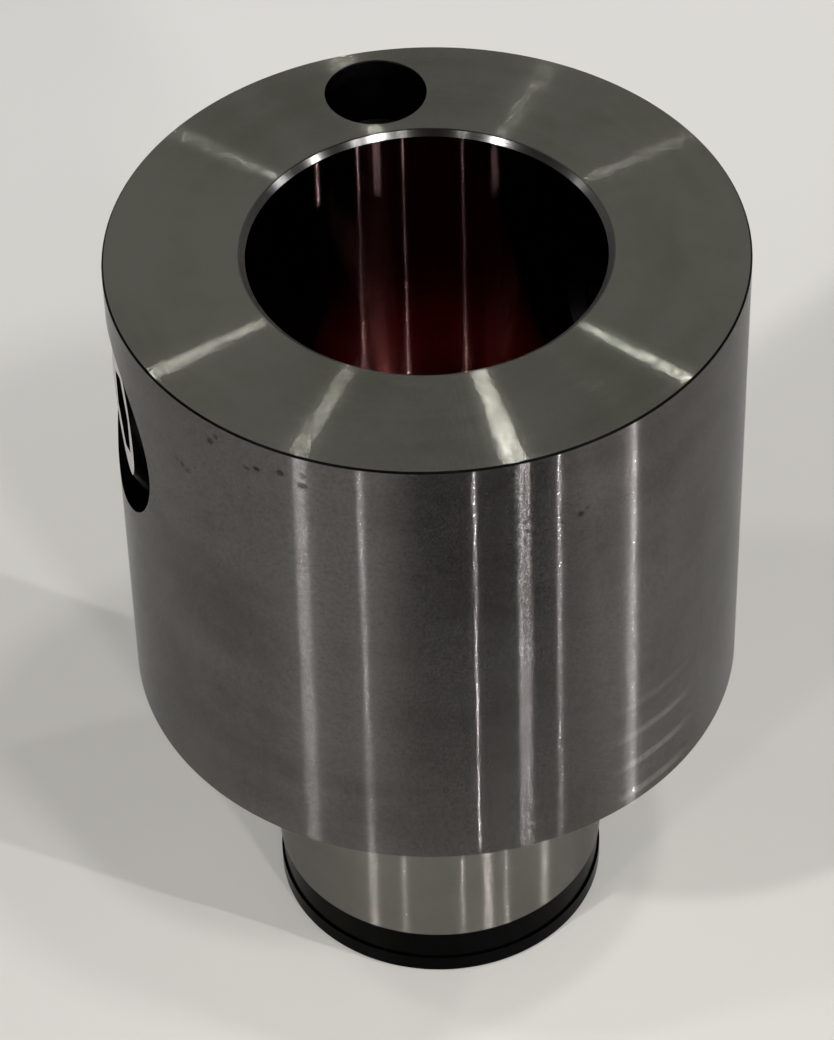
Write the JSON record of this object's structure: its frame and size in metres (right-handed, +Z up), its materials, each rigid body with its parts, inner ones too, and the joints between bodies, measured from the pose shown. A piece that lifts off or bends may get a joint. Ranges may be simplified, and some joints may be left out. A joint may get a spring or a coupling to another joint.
{
  "type": "modular tool holder extension",
  "caption": "Cylindrical steel extension for a modular tool holder: socket with radial clamping screws above, flange and cross-pinned spigot below.",
  "frame": {"origin": "centre of the underside of the spigot's cap, on the axis", "axes": "+Z up the axis towards the socket, thrust screw on -X, retaining screw on +X, locating hole and pin on +Y"},
  "size_m": [0.1, 0.1, 0.14],
  "materials": {
    "ground_steel": "ground and fine turned, lightly oiled",
    "screw_steel": "black oxide, worn bright on the outer end",
    "pin_steel": "hardened and ground",
    "black_plastic": "moulded, glossy",
    "red_plastic": "moulded, semi-gloss"
  },
  "bodies": {
    "holder": {"holder_body": "ground_steel", "retaining_screw": "screw_steel", "pin_retainer": "screw_steel", "locating_pin": "pin_steel", "spigot_cap": "black_plastic", "socket_plug": "red_plastic"},
    "thrust_screw_body": {"thrust_screw": "screw_steel"},
    "floating_pin_body": {"floating_thrust_pin": "pin_steel"}
  },
  "joints": [
    {"name": "thrust_screw_travel", "type": "slide", "parent": "holder", "child": "thrust_screw_body", "axis": [1, 0, 0], "range_m": [0, 0.0044]},
    {"name": "floating_pin_slide", "type": "slide", "parent": "holder", "child": "floating_pin_body", "axis": [1, 0, 0], "range_m": [-0.0005, 0.003]}
  ]
}
